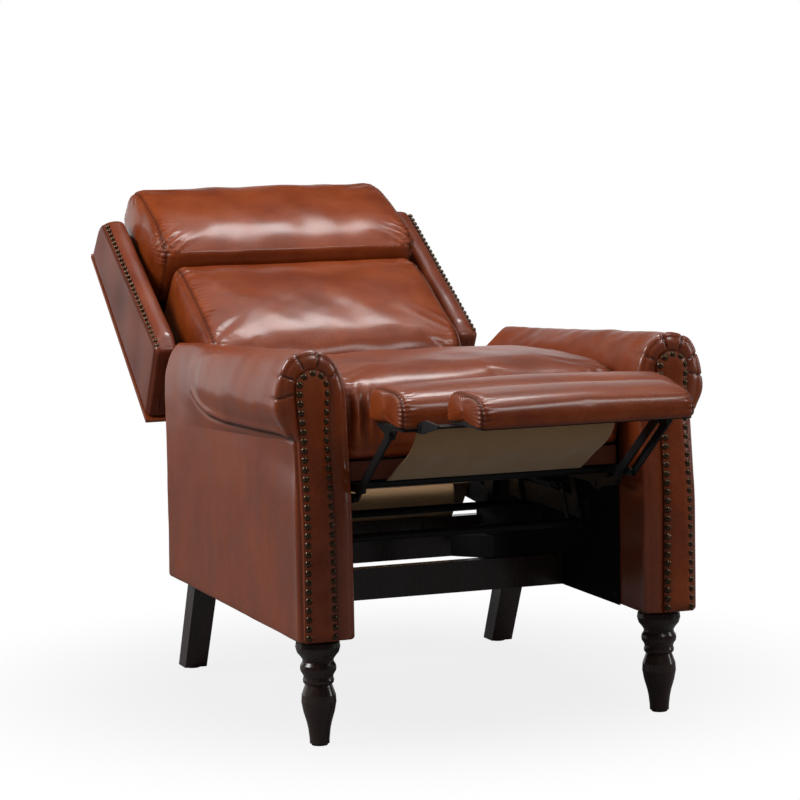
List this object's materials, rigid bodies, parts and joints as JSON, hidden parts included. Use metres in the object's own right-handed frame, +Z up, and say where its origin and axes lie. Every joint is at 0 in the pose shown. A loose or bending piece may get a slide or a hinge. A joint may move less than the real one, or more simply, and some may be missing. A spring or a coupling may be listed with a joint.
{
  "type": "wingback recliner",
  "caption": "Push-back wingback armchair in leather with rolled arms, turned legs, a folding footrest on steel lever links and a reclining back.",
  "frame": {"origin": "middle of the whole chair's footprint, feet on z = 0, in the pose drawn: reclined with the footrest out", "axes": "+X across the seat (to the right when looking at the chair from its front), -Y towards where the sitter faces, +Z up"},
  "size_m": [0.722, 1.6438, 0.836],
  "materials": {
    "leather": "glossy two-tone chestnut leather with a fine grain",
    "dark_wood": "espresso stain under satin lacquer",
    "frame_wood": "raw planed hardwood",
    "black_wood": "frame timber and plywood sprayed black",
    "lining": "black board covered with dust cloth",
    "canvas": "plain woven tan cloth",
    "glide_plastic": "moulded glide",
    "black_steel": "black enamel on pressed steel",
    "spring_steel": "oiled spring wire"
  },
  "bodies": {
    "base": {"arm_frame_left": "frame_wood", "arm_frame_right": "frame_wood", "arm_cover_left": "leather", "arm_cover_right": "leather", "arm_lining_left": "lining", "arm_lining_right": "lining", "front_panel_left": "leather", "front_panel_right": "leather", "front_leg_left": "dark_wood", "front_leg_right": "dark_wood", "rear_leg_left": "dark_wood", "rear_leg_right": "dark_wood", "leg_glides": "glide_plastic", "mid_rail": "dark_wood", "rear_rail": "dark_wood", "corner_blocks": "black_wood", "base_plate_left": "black_steel", "base_plate_right": "black_steel"},
    "front_swing": {"front_swing_link_left": "black_steel", "front_swing_link_right": "black_steel", "front_swing_tube": "black_steel"},
    "rear_swing": {"rear_swing_link_left": "black_steel", "rear_swing_link_right": "black_steel", "rear_swing_tube": "black_steel"},
    "seat": {"seat_plate_left": "black_steel", "seat_plate_right": "black_steel", "seat_frame": "black_wood", "seat_springs": "spring_steel", "seat_cushion": "leather", "gap_cloth": "canvas", "tension_spring_left": "spring_steel", "tension_spring_right": "spring_steel"},
    "back": {"back_frame": "frame_wood", "back_panel": "leather", "back_bracket_left": "black_steel", "back_bracket_right": "black_steel", "lumbar_cushion": "leather", "head_cushion": "leather", "wing_left": "leather", "wing_right": "leather", "back_dust_cloth": "canvas"},
    "lower_links": {"lower_link_left": "black_steel", "lower_link_right": "black_steel", "drive_tube": "black_steel"},
    "upper_links": {"upper_link_left": "black_steel", "upper_link_right": "black_steel"},
    "control_links": {"control_link_left": "black_steel", "control_link_right": "black_steel"},
    "steady_links": {"steady_link_left": "black_steel", "steady_link_right": "black_steel"},
    "footrest": {"footrest_board": "black_wood", "footrest_pad": "leather", "pad_bracket_left": "black_steel", "pad_bracket_right": "black_steel"},
    "flipper": {"flipper_board": "black_wood", "flipper_pad": "leather", "flipper_bracket_left": "black_steel", "flipper_bracket_right": "black_steel"}
  },
  "joints": [
    {"name": "recline_swing", "type": "hinge", "parent": "base", "child": "front_swing", "pos_m": [0, -0.23593, 0.31686], "axis": [1, 0, 0], "range_deg": [-47.4, 0]},
    {"name": "seat_level", "type": "hinge", "parent": "front_swing", "child": "seat", "pos_m": [0, -0.20459, 0.385], "axis": [1, 0, 0], "range_deg": [0, 47.4], "deforming": ["tension_spring_left", "tension_spring_right"]},
    {"name": "rear_swing", "type": "hinge", "parent": "base", "child": "rear_swing", "pos_m": [0, 0.01907, 0.31686], "axis": [1, 0, 0], "range_deg": [-47.4, 0]},
    {"name": "back_recline", "type": "hinge", "parent": "seat", "child": "back", "pos_m": [0, 0.14541, 0.285], "axis": [1, 0, 0], "range_deg": [0, 38.01]},
    {"name": "footrest_fold", "type": "hinge", "parent": "seat", "child": "lower_links", "pos_m": [0, -0.35809, 0.3987], "axis": [1, 0, 0], "range_deg": [0, 72.64], "deforming": ["gap_cloth"]},
    {"name": "knee", "type": "hinge", "parent": "lower_links", "child": "upper_links", "pos_m": [0, -0.44231, 0.40427], "axis": [1, 0, 0], "range_deg": [-100.95, 0]},
    {"name": "pad_tilt", "type": "hinge", "parent": "upper_links", "child": "footrest", "pos_m": [0, -0.57959, 0.503], "axis": [1, 0, 0], "range_deg": [0, 118.31]},
    {"name": "flipper_turn", "type": "hinge", "parent": "footrest", "child": "flipper", "pos_m": [0, -0.66659, 0.52], "axis": [1, 0, 0], "range_deg": [0, 90.01]},
    {"name": "control_swing", "type": "hinge", "parent": "seat", "child": "control_links", "pos_m": [0, -0.33309, 0.3698], "axis": [1, 0, 0], "range_deg": [0, 69.88]},
    {"name": "steady_swing", "type": "hinge", "parent": "lower_links", "child": "steady_links", "pos_m": [0, -0.46964, 0.40467], "axis": [1, 0, 0], "range_deg": [-102.88, 0]}
  ],
  "couplings": [
    {"joint": "seat_level", "follows": "recline_swing", "ratio": -1},
    {"joint": "rear_swing", "follows": "recline_swing", "ratio": 1},
    {"joint": "back_recline", "follows": "recline_swing", "ratio": -0.8017},
    {"joint": "knee", "follows": "footrest_fold", "ratio": -1.3896},
    {"joint": "pad_tilt", "follows": "footrest_fold", "ratio": 1.6286},
    {"joint": "flipper_turn", "follows": "footrest_fold", "ratio": 1.239},
    {"joint": "control_swing", "follows": "footrest_fold", "ratio": 0.9618},
    {"joint": "steady_swing", "follows": "footrest_fold", "ratio": -1.4161}
  ]
}
